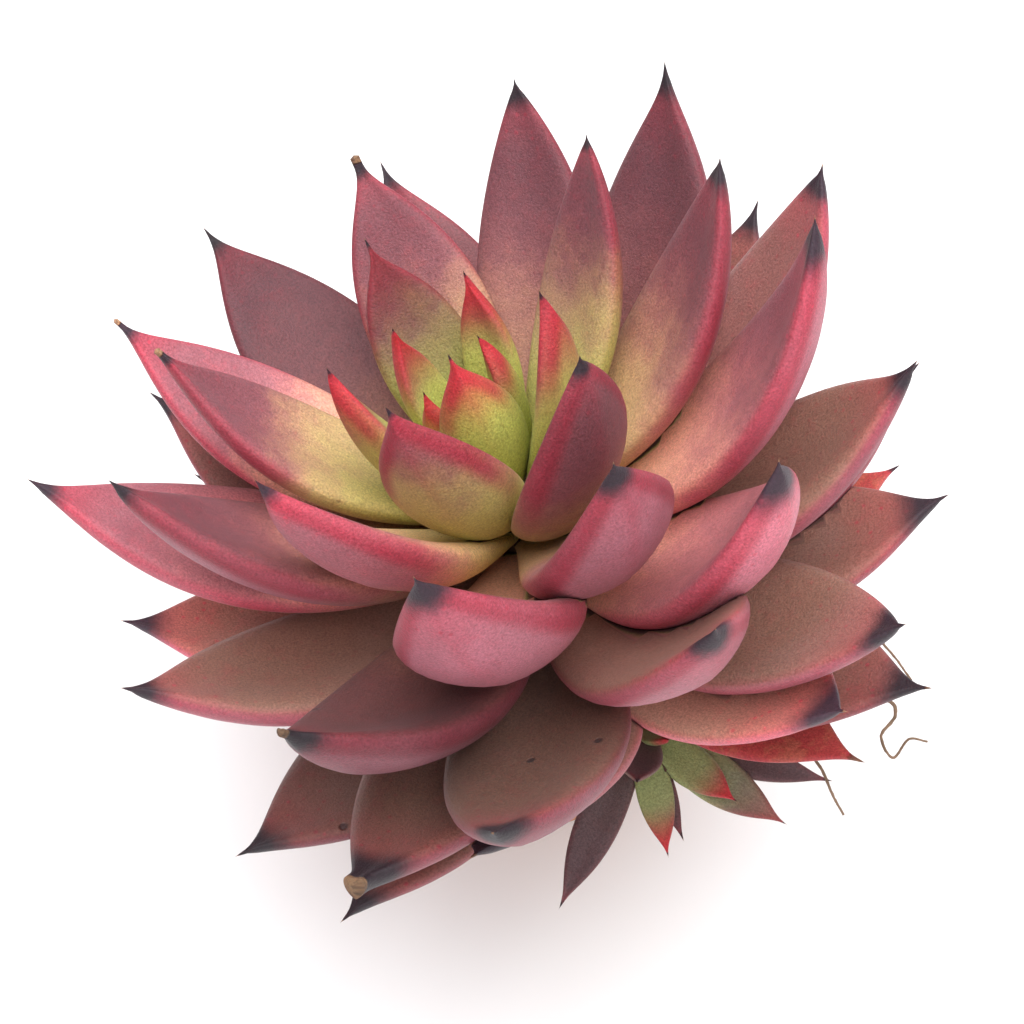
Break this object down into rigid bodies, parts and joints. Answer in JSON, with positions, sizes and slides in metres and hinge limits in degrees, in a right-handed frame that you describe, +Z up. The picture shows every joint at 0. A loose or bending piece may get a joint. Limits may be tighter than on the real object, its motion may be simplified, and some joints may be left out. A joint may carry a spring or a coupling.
{
  "type": "potted succulent",
  "caption": "Rosette succulent with thick, pointed, red-edged leaves on a short leaning stem, with a pup and dry roots, in a small plain clay pot.",
  "frame": {"origin": "centre of the pot's flat underside", "axes": "+Z up through the pot, -Y towards the side that the plant is seen from, +X to that viewer's right"},
  "size_m": [0.1642, 0.1535, 0.1626],
  "materials": {
    "heart_skin": "matte waxy leaf skin, yellow-green with red tips",
    "inner_skin": "matte waxy leaf skin, mauve over yellow-green",
    "outer_skin": "matte waxy leaf skin, brown-mauve with dark tips",
    "withered_skin": "thin withered leaf skin, red with a dry edge",
    "pup_skin": "matte waxy leaf skin, grey-green with red tips",
    "stem_bark": "dry scarred bark",
    "soil_mix": "loose dark potting mix with grit",
    "clay": "plain unglazed clay",
    "dry_root": "dry fibrous root"
  },
  "bodies": {
    "root": {"heart_leaf_00": "heart_skin", "heart_leaf_01": "heart_skin", "heart_leaf_02": "heart_skin", "heart_leaf_03": "heart_skin", "heart_leaf_04": "heart_skin", "heart_leaf_05": "heart_skin", "heart_leaf_06": "heart_skin", "heart_leaf_07": "heart_skin", "inner_leaf_08": "inner_skin", "inner_leaf_09": "inner_skin", "inner_leaf_10": "inner_skin", "inner_leaf_11": "inner_skin", "inner_leaf_12": "inner_skin", "inner_leaf_13": "inner_skin", "inner_leaf_14": "inner_skin", "inner_leaf_15": "inner_skin", "inner_leaf_16": "inner_skin", "inner_leaf_17": "inner_skin", "inner_leaf_18": "inner_skin", "inner_leaf_19": "inner_skin", "inner_leaf_20": "inner_skin", "inner_leaf_21": "inner_skin", "inner_leaf_22": "inner_skin", "inner_leaf_23": "inner_skin", "inner_leaf_24": "inner_skin", "inner_leaf_25": "inner_skin", "outer_leaf_26": "outer_skin", "outer_leaf_27": "outer_skin", "outer_leaf_28": "outer_skin", "outer_leaf_29": "outer_skin", "outer_leaf_30": "outer_skin", "outer_leaf_31": "outer_skin", "outer_leaf_32": "outer_skin", "outer_leaf_33": "outer_skin", "outer_leaf_34": "outer_skin", "outer_leaf_35": "outer_skin", "outer_leaf_36": "outer_skin", "outer_leaf_37": "outer_skin", "outer_leaf_38": "outer_skin", "outer_leaf_39": "outer_skin", "outer_leaf_40": "outer_skin", "outer_leaf_41": "outer_skin", "outer_leaf_42": "outer_skin", "outer_leaf_43": "outer_skin", "outer_leaf_44": "outer_skin", "outer_leaf_45": "outer_skin", "outer_leaf_46": "outer_skin", "outer_leaf_47": "outer_skin", "outer_leaf_48": "outer_skin", "outer_leaf_51": "outer_skin", "outer_leaf_53": "outer_skin", "outer_leaf_54": "outer_skin", "outer_leaf_56": "withered_skin", "pup": "pup_skin", "stem": "stem_bark", "soil": "soil_mix", "pot": "clay", "dry_root_right": "dry_root", "dry_root_thread": "dry_root", "dry_root_front": "dry_root"}
  },
  "joints": []
}
